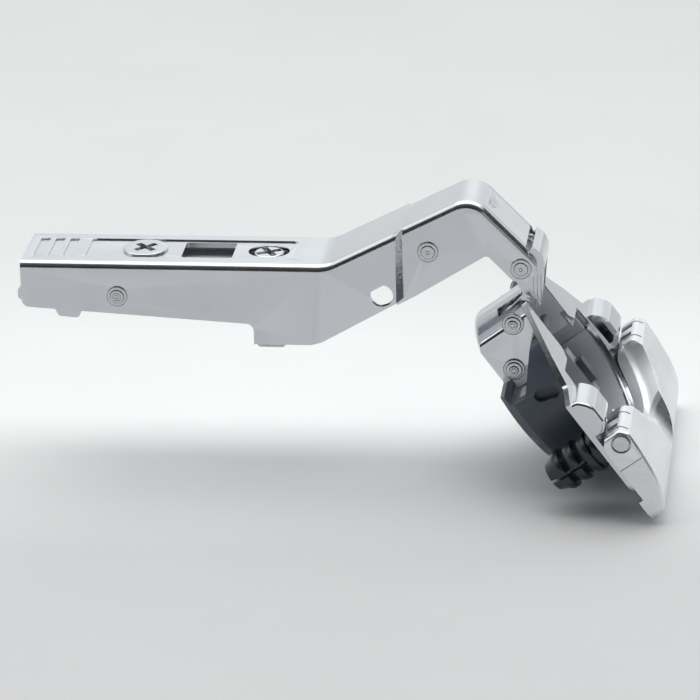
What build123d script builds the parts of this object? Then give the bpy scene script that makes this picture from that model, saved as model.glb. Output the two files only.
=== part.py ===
from build123d import *
from math import cos, radians, sin, tan
import os

# Angled clip-on cabinet hinge with a tool-free cup, shown with its door fully open. Millimetres.
# X runs along the arm to the door, Z away from the cabinet side, Y along the pivots.
# The origin lies on the seat of the clip carrier, where the hinge sits on its mounting plate.

os.makedirs("parts", exist_ok=True)

# sheet and fits
sheet = 1.2                 # arm, carrier, links
cup_sheet = 1.0             # pressed cup and flange
bore_gap = 0.04             # radial clearance of a pin in its bore
side_gap = 0.4              # sideways clearance between nested sheets
clear = 0.35                # clearance between parts that pass each other

# arm
arm_top = 4.0               # top face above the carrier seat
arm_rear = -26.8            # rear end of the arm
arm_width = 16.5            # straight part, outside
nose_width = 14.0           # front part, outside
bend_x = 29.6               # where the arm turns up
crest_x = 56.3              # where the arm turns down
joggle_x = 43.6             # end of the wide part
joggle_run = 1.25           # length of the sloped step
rise_angle = 26.57          # slope of the rising part
fall_angle = 45.8           # slope of the falling part
bend_radius = 6.0
crest_radius = 5.0
edge_radius = 1.5           # rounding between top and sides
foot_x = 16.0               # rear edge of the foot
foot_length = 10.5
foot_depth = 11.4           # foot below the seat
rear_depth = 4.7            # side wall below the seat at the rear end
mid_depth = 7.5             # side wall below the seat at the foot

# arm openings
window_x = 7.1
window_size = (9.4, 7.8)
panel_x = 3.9               # centre of the shallow pressed panel
panel_size = (38.4, 9.6)
press_depth = 0.25
grip_x = -21.3              # middle one of three grip recesses
grip_pitch = 2.75
grip_size = (1.8, 9.4)
side_hole = (39.7, -1.55)
side_hole_radius = 2.1
dimple_along = 5.2          # from the crest down the falling part
dimple_radius = 1.3

# pivots, X and Z
link_reach = (8.75, -13.7214)     # front pivot from the crest
lever_reach_back = (-8.1, -10.7114)  # rear pivot of the nose from the crest
guide_pivot = (-9.0, -2.4)
latch_pivot = (-15.3, -1.4)
lobe_radius = 2.7
rivet_radius = 1.5
rivet_head_radius = 1.9
rivet_head = 0.25
rivet_boss = 0.2            # raised middle of a head
rivet_boss_radius = 1.2
pin_radius = 1.4

# adjusting screws
cam_x = -4.7
cam_flange_radius = 4.15
cam_flange = 0.5
cam_neck_radius = 2.8
cam_post_radius = 1.4
screw_x = 18.2
screw_slot = (7.6, 6.0)
screw_head_radius = 2.75
screw_shank_radius = 1.9
recess_width = 1.25
recess_length = 4.8
recess_depth = 0.9

# carrier and latch
carrier_front = 24.0
carrier_web_rear = -12.0
carrier_rear = -22.0
depth_travel = 2.0          # arm adjustment each way along X
hook_x = 16.4
hook_length = 4.9
hook_depth = 12.5

# cup, in its own directions: along the door from the edge, along the pivots, out of the door
cup_reach = (9.97, -19.88)  # cup centre from the front pivot
cup_tilt = 54.0             # slope of the open door below the arm
cup_radius = 17.5
cup_depth = 12.3
boss_chamfer = 2.0
box_depth = 11.5
box_width = 18.4
box_length = 11.2           # pressed box from the front wall
box_round = 1.3
plate_reach = 2.0           # side plates past the box floor
mouth_width = 15.8
rim_inset = 1.2             # mouth inside the boss
rim_front = 0.3             # rim wall from here to the rear
flange_width = 53.0
flange_rear = 20.2
outer_pin_reach = (2.69, -3.30)  # cup pins from the front of the boss
inner_pin_reach = (9.90, -8.37)
hump_front = -1.2
hump_length = 7.9
hump_height = 4.0
hump_round = 0.7
hump_floor = 1.4            # bottom of the opening under a hump
hump_inset = 0.7            # hump begins this far outside the mouth

# links
leg_outside = nose_width - 2 * sheet - 2 * side_gap
barrel_radius = 4.2
barrel_from = -14.0
barrel_to = 62.0

# locking lever and dowels
dowel_spacing = 45.0
dowel_offset = 9.5          # dowels behind the cup centre
dowel_radius = 4.0
dowel_length = 11.0
dowel_collar = 1.2          # plain collar under the flange
rib_radius = dowel_radius - 0.06
dowel_slit = 0.6
dowel_head = 3.4            # solid head above the slit
spreader_travel = 0.9
spreader_radius = 1.3
locking_pivot = (9.5, 4.5)
locking_pin_radius = 1.5    # head shown at each end
pin_core_radius = 0.8
lug_radius = 1.55
lug_width = 1.0
lug_inset = (1.9, 6.1)      # lugs in from the flange's ends
locking_overhang = 2.0      # lever past the flange at each side
locking_rear = 25.2
lever_round = 0.9           # rounding of the lever's ends
ledge_out = 3.4             # step round the inside of the lever
ledge_width = 1.3
scoop_radius = 9.0
scoop_bottom = 3.4
knuckle_groove = 0.5
groove_inset = (2.5, 9.5)   # grooves in from the lever's ends

# soft-close unit
damper_radius = 2.2
damper_length = 5.0
damper_front = 0.2          # front end of a damper, along the cup
damper_inset = 2.0          # dampers outside the box
piston_radius = 1.0
piston_reach = 2.9          # rod in front of its damper at rest
piston_hold = 2.2           # rod inside its damper at rest
actuator_reach = 7.0
switch_size = (5.2, 2.4, 1.4)
switch_travel = 2.5

# derived places
rise = tan(radians(rise_angle))
fall = tan(radians(fall_angle))
arm_half = arm_width / 2
nose_half = nose_width / 2
crest_z = arm_top + rise * (crest_x - bend_x)
link_pivot = (crest_x + link_reach[0], crest_z + link_reach[1])
lever_pivot = (crest_x + lever_reach_back[0], crest_z + lever_reach_back[1])
cup_centre = (link_pivot[0] + cup_reach[0], link_pivot[1] + cup_reach[1])
outer_pin = (-cup_radius + outer_pin_reach[0], outer_pin_reach[1])
inner_pin = (-cup_radius + inner_pin_reach[0], inner_pin_reach[1])
mouth_radius = cup_radius - rim_inset
hump_inner = mouth_radius + hump_inset
rise_drop = sheet / cos(radians(rise_angle))
fall_drop = sheet / cos(radians(fall_angle))
carrier_half = arm_half - sheet - side_gap
leg_half = leg_outside / 2
box_half = box_width / 2
damper_side = box_half + damper_inset
flange_half = flange_width / 2
strip_front = -cup_radius + 0.9
strip_half = cup_radius - 0.7
shoulder_half = flange_half - 5.7
mouth_half = mouth_width / 2
locking_half = flange_half + locking_overhang
locking_width = 2 * locking_half

arm_side = Plane.XZ
cup_along = (cos(radians(cup_tilt)), 0, -sin(radians(cup_tilt)))
cup_out = (sin(radians(cup_tilt)), 0, cos(radians(cup_tilt)))
cup_origin = (cup_centre[0], 0, cup_centre[1])
cup_face = Plane(cup_origin, x_dir=cup_along, z_dir=cup_out)
cup_side = Plane(cup_origin, x_dir=cup_along, z_dir=(0, -1, 0))


def corners(sketch, *points):
    """The sketch corners nearest to the given points, to be rounded."""
    return [sketch.vertices().sort_by_distance((x, y, 0))[0] for x, y in points]


def rise_line(x):
    """Height of the rising part's top."""
    return arm_top + rise * (x - bend_x)


def fall_line(x):
    """Height of the falling part's top."""
    return crest_z - fall * (x - crest_x)


def cup_point(place):
    """X and Z of a place given along the cup and out of it."""
    return (
        cup_centre[0] + place[0] * cup_along[0] + place[1] * cup_out[0],
        cup_centre[1] + place[0] * cup_along[2] + place[1] * cup_out[2],
    )


# Arm: one folded channel, wide behind the joggle and narrow in front of it
fall_along = (-cos(radians(fall_angle)), sin(radians(fall_angle)))
fall_out = (sin(radians(fall_angle)), cos(radians(fall_angle)))


def nose_point(along, out):
    """A place up along the falling part and out of it, from the link pivot."""
    return (
        link_pivot[0] + along * fall_along[0] + out * fall_out[0],
        link_pivot[1] + along * fall_along[1] + out * fall_out[1],
    )


nose_skin = (fall_line(link_pivot[0]) - link_pivot[1]) * cos(radians(fall_angle))
web_end = 2.2               # web stops this far short of the link pivot
under_nose = (link_pivot[0] - 6.15, link_pivot[1] + 2.5)
foot_front = foot_x + foot_length
rear_slope = [(44.0, -2.3), (foot_front + 2.0, -foot_depth + 0.55)]

with BuildPart() as hinge_arm:
    with BuildSketch(arm_side) as wide_side:
        with BuildLine():
            Polyline(
                (arm_rear, arm_top),
                (bend_x, arm_top),
                (joggle_x, rise_line(joggle_x)),
                (joggle_x, rear_slope[0][1]),
                rear_slope[1],
                (foot_front, -foot_depth),
                (foot_x, -foot_depth),
                (foot_x, -mid_depth),
                (arm_rear, -rear_depth),
                close=True,
            )
        make_face()
        fillet(corners(wide_side, (bend_x, arm_top)), bend_radius)
        fillet(corners(wide_side, (arm_rear, -rear_depth), (foot_x, -mid_depth)), 1.4)
        fillet(corners(wide_side, rear_slope[1], (foot_front, -foot_depth)), 1.2)
    extrude(amount=arm_half, both=True)
    step_edges = hinge_arm.edges().filter_by(Axis.Z).group_by(Axis.X)[-1]
    chamfer(step_edges, length=arm_half - nose_half - 0.01, length2=joggle_run)
    top_edges = [
        edge
        for edge in hinge_arm.edges()
        if abs(abs(edge.center().Y) - arm_half) < 0.01
        and edge.center().Z > arm_top - 0.5
        and edge.center().X < joggle_x - joggle_run - 0.5
    ]
    fillet(top_edges, edge_radius)

    with BuildSketch(arm_side) as narrow_side:
        with BuildLine():
            Polyline(
                (joggle_x - 2.4, rise_line(joggle_x - 2.4)),
                (crest_x, crest_z),
                nose_point(web_end, nose_skin),
                nose_point(0.6, 0.97 * lobe_radius),
                nose_point(0, -lobe_radius),
                under_nose,
                (joggle_x + 1.7, -2.2),
                (joggle_x - 2.4, -4.4),
                close=True,
            )
        make_face()
        fillet(corners(narrow_side, (crest_x, crest_z)), crest_radius)
        fillet(corners(narrow_side, under_nose), 0.8)
        with Locations(link_pivot):
            Circle(lobe_radius)
    nose = extrude(amount=nose_half, both=True, mode=Mode.PRIVATE)
    nose_edges = [
        edge
        for edge in nose.edges()
        if abs(abs(edge.center().Y) - nose_half) < 0.01
        and edge.center().Z > 8.9
        and edge.center().Z > rise_line(edge.center().X) - 6.0
        and edge.length > 1.5
        and edge.center().X > joggle_x - 2.0
    ]
    add(nose.fillet(edge_radius, nose_edges))

    with BuildSketch(arm_side) as wide_hollow:
        with BuildLine():
            Polyline(
                (arm_rear - 3, arm_top - sheet),
                (bend_x + rise_drop - sheet, arm_top - sheet),
                (joggle_x - joggle_run, rise_line(joggle_x - joggle_run) - rise_drop),
                (joggle_x - joggle_run, -3 * foot_depth),
                (arm_rear - 3, -3 * foot_depth),
                close=True,
            )
        make_face()
    extrude(amount=arm_half - sheet, both=True, mode=Mode.SUBTRACT)
    with BuildSketch(arm_side) as narrow_hollow:
        inner_crest = (crest_x - 0.25, rise_line(crest_x - 0.25) - rise_drop)
        with BuildLine():
            Polyline(
                (joggle_x - 4, rise_line(joggle_x - 4) - rise_drop),
                inner_crest,
                nose_point(web_end, nose_skin - sheet),
                nose_point(web_end, nose_skin + sheet),
                (link_pivot[0] + 9, link_pivot[1] + 9),
                (link_pivot[0] + 9, -3 * foot_depth),
                (joggle_x - 4, -3 * foot_depth),
                close=True,
            )
        make_face()
        fillet(corners(narrow_hollow, inner_crest), crest_radius - sheet)
    extrude(amount=nose_half - sheet, both=True, mode=Mode.SUBTRACT)

    with BuildSketch(Plane.XY.offset(arm_top)):
        with Locations((panel_x, 0)):
            RectangleRounded(*panel_size, 0.8)
        with Locations((grip_x, 0)):
            with GridLocations(grip_pitch, 0, 3, 1):
                RectangleRounded(*grip_size, 0.6)
    extrude(amount=-press_depth, mode=Mode.SUBTRACT)
    with BuildSketch(Plane.XY.offset(arm_top)):
        with Locations((window_x, 0)):
            RectangleRounded(*window_size, 0.5)
        with Locations((screw_x, 0)):
            SlotOverall(*screw_slot)
        with Locations((cam_x, 0)):
            Circle(cam_neck_radius + bore_gap)
    extrude(amount=-2 * sheet, mode=Mode.SUBTRACT)
    with BuildSketch(arm_side):
        with Locations(side_hole):
            Circle(side_hole_radius)
        with Locations(link_pivot, lever_pivot, guide_pivot):
            Circle(rivet_radius + bore_gap)
    extrude(amount=arm_width, both=True, mode=Mode.SUBTRACT)
    dimple_x = crest_x + dimple_along * cos(radians(fall_angle))
    dimple_ball = 3 * dimple_radius
    ball_lift = dimple_ball * 0.93
    with Locations((
        dimple_x + ball_lift * sin(radians(fall_angle)),
        0,
        fall_line(dimple_x) + ball_lift * cos(radians(fall_angle)),
    )):
        Sphere(dimple_ball, mode=Mode.SUBTRACT)

# Clip carrier: the channel inside the arm that hooks on the mounting plate
with BuildPart() as clip_carrier:
    with BuildSketch(arm_side) as carrier_wall:
        with BuildLine():
            Polyline(
                (carrier_rear, sheet),
                (carrier_front, sheet),
                (carrier_front, -8.0),
                (hook_x + hook_length, -hook_depth),
                (hook_x, -hook_depth),
                (hook_x, -mid_depth + 1.0),
                (carrier_rear, -rear_depth + 1.2),
                close=True,
            )
        make_face()
        fillet(corners(carrier_wall, (hook_x, -hook_depth), (hook_x + hook_length, -hook_depth)), 0.6)
    extrude(amount=carrier_half, both=True)
    with BuildSketch(arm_side):
        with BuildLine():
            Polyline(
                (carrier_rear - 1, sheet + 1),
                (carrier_web_rear, sheet + 1),
                (carrier_web_rear, 0),
                (carrier_front + 1, 0),
                (carrier_front + 1, -2 * hook_depth),
                (carrier_rear - 1, -2 * hook_depth),
                close=True,
            )
        make_face()
    extrude(amount=carrier_half - sheet, both=True, mode=Mode.SUBTRACT)
    with BuildSketch(Plane.XY):
        with Locations((screw_x, 0)):
            SlotOverall(2 * (screw_shank_radius + depth_travel + clear), 2 * (screw_shank_radius + clear))
        with Locations((cam_x, 0)):
            SlotOverall(2 * (cam_post_radius + depth_travel + clear), 2 * (cam_post_radius + clear))
    extrude(amount=2 * sheet, mode=Mode.SUBTRACT)
    with BuildSketch(arm_side):
        with Locations(guide_pivot):
            SlotOverall(2 * (rivet_radius + depth_travel + clear), 2 * (rivet_radius + bore_gap))
        with Locations(latch_pivot):
            Circle(1.0 + bore_gap)
        with Locations((hook_x + hook_length + 0.9, -hook_depth + 2.3)):
            Circle(1.5)
    extrude(amount=arm_width, both=True, mode=Mode.SUBTRACT)

# Guide rivets: fixed in the arm, they run in the carrier's slots
with BuildPart() as guide_rivets:
    for side in (-1, 1):
        with BuildSketch(arm_side.offset(-side * (arm_half + rivet_head))):
            with Locations(guide_pivot):
                Circle(rivet_head_radius)
        extrude(amount=side * rivet_head)
        with BuildSketch(arm_side.offset(-side * (arm_half + rivet_head + rivet_boss))):
            with Locations(guide_pivot):
                Circle(rivet_boss_radius)
        extrude(amount=side * rivet_boss)
        with BuildSketch(arm_side.offset(-side * arm_half)):
            with Locations(guide_pivot):
                Circle(rivet_radius)
        extrude(amount=side * (arm_half - carrier_half + sheet))

# Latch: sprung lever that grips the rear of the mounting plate, with a finger end behind the arm
latch_half = carrier_half - sheet - side_gap
finger_x = arm_rear - 1.3
with BuildPart() as latch_lever:
    with BuildSketch(arm_side) as latch_profile:
        with BuildLine():
            Polyline(
                (finger_x, -2.3),
                (finger_x, -4.5),
                (-22.0, -5.0),
                (-20.6, -7.7),
                (-17.0, -8.0),
                (-16.3, -6.6),
                (-13.6, -3.6),
                (-13.6, 0.7),
                (-17.2, 0.7),
                (-21.0, -1.2),
                close=True,
            )
        make_face()
        fillet(corners(latch_profile, (finger_x, -2.3), (finger_x, -4.5), (-20.6, -7.7), (-17.0, -8.0)), 0.7)
        fillet(corners(latch_profile, (-13.6, 0.7), (-17.2, 0.7)), 1.2)
    extrude(amount=latch_half, both=True)
    with BuildSketch(Plane.XY.offset(arm_top)):
        with Locations((-16.0, 0)):
            Rectangle(7.4, 2 * (latch_half - sheet))
    extrude(amount=-4 * rear_depth, mode=Mode.SUBTRACT)
    with BuildSketch(arm_side):
        with Locations(latch_pivot):
            Circle(1.0 + bore_gap)
    extrude(amount=arm_width, both=True, mode=Mode.SUBTRACT)

with BuildPart() as latch_pin:
    with BuildSketch(arm_side):
        with Locations(latch_pivot):
            Circle(1.0)
    extrude(amount=carrier_half, both=True)

with BuildPart() as latch_spring:
    with BuildLine() as latch_wire:
        Helix(
            pitch=0.8,
            height=3.2,
            radius=1.45,
            center=(latch_pivot[0], -1.6, latch_pivot[1]),
            direction=(0, 1, 0),
        )
    with BuildSketch(Plane(latch_wire.line @ 0, z_dir=latch_wire.line % 0)):
        Circle(0.3)
    sweep(path=latch_wire.line, is_frenet=True)

# Adjusting screws with cross recesses
with BuildPart() as depth_cam:
    with BuildSketch(Plane.XY.offset(arm_top - press_depth)):
        with Locations((cam_x, 0)):
            Circle(cam_flange_radius)
    extrude(amount=cam_flange)
    fillet(depth_cam.faces().sort_by(Axis.Z)[-1].edges(), 0.3)
    with BuildSketch(Plane.XY.offset(arm_top - press_depth)):
        with Locations((cam_x, 0)):
            Circle(cam_neck_radius)
    extrude(amount=-(arm_top - press_depth - sheet - clear))
    with BuildSketch(Plane.XY.offset(sheet + clear)):
        with Locations((cam_x, 0)):
            Circle(cam_post_radius)
    extrude(amount=-(sheet + clear - 0.15))
    with BuildSketch(Plane.XY.offset(arm_top - press_depth + cam_flange)):
        with Locations((cam_x, 0)):
            Rectangle(recess_length, recess_width, rotation=45)
            Rectangle(recess_width, recess_length, rotation=45)
    extrude(amount=-recess_depth, mode=Mode.SUBTRACT)

with BuildPart() as side_screw:
    with BuildSketch(Plane.XY.offset(arm_top - sheet - clear)):
        with Locations((screw_x, 0)):
            Circle(screw_head_radius)
    extrude(amount=sheet)
    fillet(side_screw.faces().sort_by(Axis.Z)[-1].edges(), 0.3)
    with BuildSketch(Plane.XY.offset(arm_top - sheet - clear)):
        with Locations((screw_x, 0)):
            Circle(screw_shank_radius)
    extrude(amount=-(arm_top - sheet - clear - 0.15))
    with BuildSketch(Plane.XY.offset(arm_top - clear)):
        with Locations((screw_x, 0)):
            Rectangle(recess_length, recess_width, rotation=30)
            Rectangle(recess_width, recess_length, rotation=30)
    extrude(amount=-recess_depth, mode=Mode.SUBTRACT)

# Closing lever inside the nose, on its rivet, pressed down by a coil spring
lever_half = 2.5
lever_knee = 7.4            # along the rising part
lever_reach = (12.2, 1.76)  # tip from the pivot
lever_eye = 2.4
lever_tip = (lever_pivot[0] + lever_reach[0], lever_pivot[1] + lever_reach[1])
lever_top = lever_eye - 0.2
with BuildPart() as closing_lever:
    with BuildSketch(arm_side) as lever_profile:
        knee_top = (lever_pivot[0] + lever_knee, lever_pivot[1] + lever_top + rise * lever_knee)
        knee_under = (knee_top[0] - 0.4, knee_top[1] - 1.3 * lever_eye)
        with BuildLine():
            Polyline(
                (lever_pivot[0], lever_pivot[1] + lever_top),
                knee_top,
                (lever_tip[0] + 0.6, lever_tip[1] + 0.4),
                (lever_tip[0] - 0.8, lever_tip[1] - 0.8),
                knee_under,
                (lever_pivot[0], lever_pivot[1] - lever_top),
                close=True,
            )
        make_face()
        fillet(corners(lever_profile, knee_top, knee_under), 0.8)
        with Locations(lever_pivot):
            Circle(lever_eye)
            Circle(rivet_radius + bore_gap, mode=Mode.SUBTRACT)
    extrude(amount=lever_half, both=True)

with BuildPart() as lever_rivet:
    with BuildSketch(arm_side):
        with Locations(lever_pivot):
            Circle(rivet_radius)
    extrude(amount=nose_half, both=True)
    for side in (-1, 1):
        with BuildSketch(arm_side.offset(side * nose_half)):
            with Locations(lever_pivot):
                Circle(rivet_head_radius)
        extrude(amount=side * rivet_head)
        with BuildSketch(arm_side.offset(side * (nose_half + rivet_head))):
            with Locations(lever_pivot):
                Circle(rivet_boss_radius)
        extrude(amount=side * rivet_boss)

spring_x = lever_pivot[0] + 4.0
spring_turns = 2.5
spring_wire = 0.35
spring_slack = 0.15
spring_out = (-sin(radians(rise_angle)), 0, cos(radians(rise_angle)))
spring_base_z = lever_pivot[1] + lever_top + rise * (spring_x - lever_pivot[0])
spring_room = (rise_line(spring_x) - rise_drop - spring_base_z) * cos(radians(rise_angle))
spring_height = spring_room - 2 * (spring_wire + spring_slack)
spring_lift = spring_wire + spring_slack
with BuildPart() as closing_spring:
    with BuildLine() as coil:
        Helix(
            pitch=spring_height / spring_turns,
            height=spring_height,
            radius=1.5,
            center=(spring_x + spring_lift * spring_out[0], 0, spring_base_z + spring_lift * spring_out[2]),
            direction=spring_out,
        )
    with BuildSketch(Plane(coil.line @ 0, z_dir=coil.line % 0)):
        Circle(spring_wire)
    sweep(path=coil.line, is_frenet=True)

# Link rivets: one stub each side, through the arm's lobe and the link's leg
with BuildPart() as link_rivets:
    for side in (-1, 1):
        with BuildSketch(arm_side.offset(-side * (nose_half + rivet_head))):
            with Locations(link_pivot):
                Circle(rivet_head_radius)
        extrude(amount=side * rivet_head)
        with BuildSketch(arm_side.offset(-side * (nose_half + rivet_head + rivet_boss))):
            with Locations(link_pivot):
                Circle(rivet_boss_radius)
        extrude(amount=side * rivet_boss)
        with BuildSketch(arm_side.offset(-side * nose_half)):
            with Locations(link_pivot):
                Circle(rivet_radius)
        extrude(amount=side * (sheet + side_gap + sheet + 0.3))

# Outer link: two legs, joined by a rolled barrel round the arm pivot
outer_pivot = cup_point(outer_pin)
knee = (link_pivot[0] + 3.5, link_pivot[1] - 7.4)
neck = (link_pivot[0] + 0.3, link_pivot[1] - 5.6)


def barrel_point(radius, angle):
    """A place round the arm's front pivot."""
    return (link_pivot[0] + radius * cos(radians(angle)), link_pivot[1] + radius * sin(radians(angle)))


with BuildPart() as outer_link:
    for side in (-1, 1):
        with BuildSketch(arm_side.offset(side * leg_half)) as leg:
            with BuildLine():
                Polyline(
                    (link_pivot[0] - 2.9, link_pivot[1] - 0.6),
                    (link_pivot[0] - 0.9, link_pivot[1] - 3.3),
                    neck,
                    (outer_pivot[0] - 0.8, outer_pivot[1] + 1.5),
                    (outer_pivot[0] + 1.2, outer_pivot[1] - 1.6),
                    knee,
                    (link_pivot[0] + 4.0, link_pivot[1] - 1.4),
                    barrel_point(barrel_radius - 0.3, barrel_to),
                    link_pivot,
                    close=True,
                )
            make_face()
            fillet(corners(leg, knee, neck), 1.2)
            with Locations(link_pivot):
                Circle(lobe_radius)
            with Locations(outer_pivot):
                Circle(1.9)
            with Locations(link_pivot):
                Circle(rivet_radius + bore_gap, mode=Mode.SUBTRACT)
            with Locations(outer_pivot):
                Circle(pin_radius + bore_gap, mode=Mode.SUBTRACT)
        extrude(amount=-side * sheet)
        with BuildSketch(arm_side.offset(side * leg_half)):
            with BuildLine():
                Polyline(
                    (knee[0] - 0.9, knee[1] + 1.2),
                    (link_pivot[0] + 2.9, link_pivot[1] - 0.6),
                    (link_pivot[0] + 4.0, link_pivot[1] - 1.4),
                    (knee[0] + 0.1, knee[1] + 1.2),
                    close=True,
                )
            make_face()
        extrude(amount=-side * (sheet + 0.8))
    with BuildSketch(arm_side):
        with BuildLine():
            CenterArc(link_pivot, barrel_radius, barrel_from, barrel_to - barrel_from)
            CenterArc(link_pivot, barrel_radius - sheet, barrel_from, barrel_to - barrel_from)
            for angle in (barrel_from, barrel_to):
                Line(barrel_point(barrel_radius - sheet, angle), barrel_point(barrel_radius, angle))
        make_face()
    extrude(amount=leg_half, both=True)

# Cup: pressed flange with the front box, the rim wall, two bridge humps and the lugs of the lever
hump_top = [(hump_front + 0.3, 2.2), (hump_front + 2.3, hump_height), (hump_front + 6.5, hump_height)]
hump_rear = hump_front + hump_length
with BuildPart() as cup_shell:
    with BuildSketch(cup_face) as flange_plan:
        with BuildLine():
            Polyline(
                (strip_front, -box_half),
                (-8.1, -strip_half),
                (-2.6, -shoulder_half),
                (hump_front, -flange_half),
                (flange_rear, -flange_half),
                (flange_rear, flange_half),
                (hump_front, flange_half),
                (-2.6, shoulder_half),
                (-8.1, strip_half),
                (strip_front, box_half),
                close=True,
            )
        make_face()
        fillet(corners(flange_plan, (flange_rear, -flange_half), (flange_rear, flange_half)), 3.0)
        fillet(corners(flange_plan, (-2.6, -shoulder_half), (-2.6, shoulder_half)), 2.0)
        Circle(mouth_radius, mode=Mode.SUBTRACT)
        with Locations((-10.0, 0)):
            Rectangle(20, mouth_width, mode=Mode.SUBTRACT)
        with Locations((0, 0)):
            Rectangle(2 * cup_radius + 4, 2 * mouth_half - 2, mode=Mode.SUBTRACT, align=(Align.MAX, Align.CENTER))
    extrude(amount=cup_sheet)
    # front strips of the flange, beside the box
    with BuildSketch(cup_face):
        for side in (-1, 1):
            with BuildLine():
                Polyline(
                    (strip_front, side * mouth_half),
                    (strip_front, side * box_half),
                    (-8.1, side * strip_half),
                    (-4.0, side * (strip_half - 0.6)),
                    (-4.0, side * (mouth_half + 2.2)),
                    (-6.0, side * mouth_half),
                    close=True,
                )
            make_face()
    extrude(amount=cup_sheet)
    # box: a pressed tray with a curved front wall and long side plates
    with BuildSketch(cup_face.offset(0.4)):
        with Locations((-cup_radius, 0)):
            Rectangle(box_length, box_width, align=(Align.MIN, Align.CENTER))
        Circle(cup_radius, mode=Mode.INTERSECT)
    tray = extrude(amount=-(box_depth + 0.4), mode=Mode.PRIVATE)
    front_edges = [
        edge
        for edge in tray.edges()
        if edge.length > box_depth - 1 and cup_face.to_local_coords(edge.center()).X < -cup_radius + box_length / 2
    ]
    add(tray.fillet(box_round, front_edges))
    for side in (-1, 1):
        with BuildSketch(cup_side.offset(side * box_half)):
            with Locations((-cup_radius + box_length, 0.4)):
                Rectangle(2 * plate_reach, box_depth - 1.2, align=(Align.CENTER, Align.MAX))
        extrude(amount=-side * cup_sheet)
    with BuildSketch(cup_face.offset(-box_depth + cup_sheet)):
        with Locations((-cup_radius + box_length / 2, 0)):
            Rectangle(box_length + 10, box_width - 2 * cup_sheet)
        Circle(cup_radius - cup_sheet, mode=Mode.INTERSECT)
    extrude(amount=box_depth + 5, mode=Mode.SUBTRACT)
    with BuildSketch(cup_face.offset(-box_depth)):
        with Locations((outer_pin[0] + 3.6, 0)):
            Rectangle(box_length, box_width - 2 * cup_sheet, align=(Align.MIN, Align.CENTER))
    extrude(amount=2 * cup_sheet, mode=Mode.SUBTRACT)
    leg_flange_inner = leg_half - sheet - 0.8
    for side in (-1, 1):
        with BuildSketch(cup_face.offset(outer_pin[1] - 2.4)):
            with Locations((-cup_radius, side * (leg_flange_inner - clear))):
                Rectangle(
                    8,
                    leg_half - leg_flange_inner + 2 * clear,
                    align=(Align.CENTER, Align.MIN if side > 0 else Align.MAX),
                )
        extrude(amount=box_depth, mode=Mode.SUBTRACT)
    # rim wall behind the mouth
    with BuildSketch(cup_face.offset(0.3)):
        Circle(mouth_radius)
        Circle(mouth_radius - cup_sheet, mode=Mode.SUBTRACT)
        with Locations((rim_front, 0)):
            Rectangle(40, 40, align=(Align.MIN, Align.CENTER), mode=Mode.INTERSECT)
    extrude(amount=-8.0)
    # bridge humps, open to the middle
    for side in (-1, 1):
        with BuildSketch(cup_side.offset(side * hump_inner)) as hump_profile:
            with BuildLine():
                Polyline(
                    (hump_front, 0.2),
                    *hump_top,
                    (hump_rear, hump_height - 1.4),
                    (hump_rear, 0.2),
                    close=True,
                )
            make_face()
            fillet(corners(hump_profile, hump_top[0]), 1.6)
            fillet(corners(hump_profile, hump_top[1]), 3.2)
            fillet(corners(hump_profile, hump_top[2]), 1.8)
        bridge = extrude(amount=side * (flange_half - hump_inner), mode=Mode.PRIVATE)
        end_edges = [
            edge
            for edge in bridge.edges()
            if abs(edge.center().Y + side * flange_half) < 0.01
            and cup_face.to_local_coords(edge.center()).Z > 0.5
        ]
        add(bridge.fillet(hump_round, end_edges))
        with BuildSketch(cup_side.offset(side * (hump_inner - 1))):
            with BuildLine():
                Polyline(
                    (hump_front + cup_sheet, hump_floor),
                    (hump_front + 0.3 + cup_sheet, hump_floor + 0.3),
                    (hump_front + 2.8, hump_height - cup_sheet),
                    (hump_front + 6.1, hump_height - cup_sheet),
                    (hump_rear - cup_sheet, hump_height - 1.8),
                    (hump_rear - cup_sheet, hump_floor),
                    close=True,
                )
            make_face()
        extrude(amount=side * (flange_half - hump_inner + 1 - cup_sheet - 0.4), mode=Mode.SUBTRACT)
    # lugs that carry the locking lever's pins
    for side in (-1, 1):
        for inset in lug_inset:
            with BuildSketch(cup_side.offset(side * (flange_half - inset) - lug_width / 2)):
                with Locations(locking_pivot):
                    Circle(lug_radius)
                with Locations((locking_pivot[0] + lug_radius, 0)):
                    Rectangle(lug_radius + 0.4, locking_pivot[1], align=(Align.MAX, Align.MIN))
                with Locations(locking_pivot):
                    Circle(pin_core_radius + bore_gap, mode=Mode.SUBTRACT)
            extrude(amount=lug_width)
    with BuildSketch(cup_side):
        with Locations(outer_pin, inner_pin):
            Circle(pin_radius + bore_gap)
    extrude(amount=box_width, both=True, mode=Mode.SUBTRACT)

# Cup pins with a collar outside each plate
for name, place in (("cup_pin_outer", outer_pin), ("cup_pin_inner", inner_pin)):
    with BuildPart() as cup_pin:
        with BuildSketch(cup_side):
            with Locations(place):
                Circle(pin_radius)
        extrude(amount=box_half, both=True)
        for side in (-1, 1):
            with BuildSketch(cup_side.offset(side * box_half)):
                with Locations(place):
                    Circle(pin_radius + 0.6)
            extrude(amount=side * 0.3)
            for reach, radius in ((0.3, pin_radius), (0.6, 0.55 * pin_radius)):
                with BuildSketch(cup_side.offset(side * (box_half + reach))):
                    with Locations(place):
                        Circle(radius)
                extrude(amount=side * 0.3)
    cup_pin.part.label = name
    export_step(cup_pin.part, f"parts/{name}.step")

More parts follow.
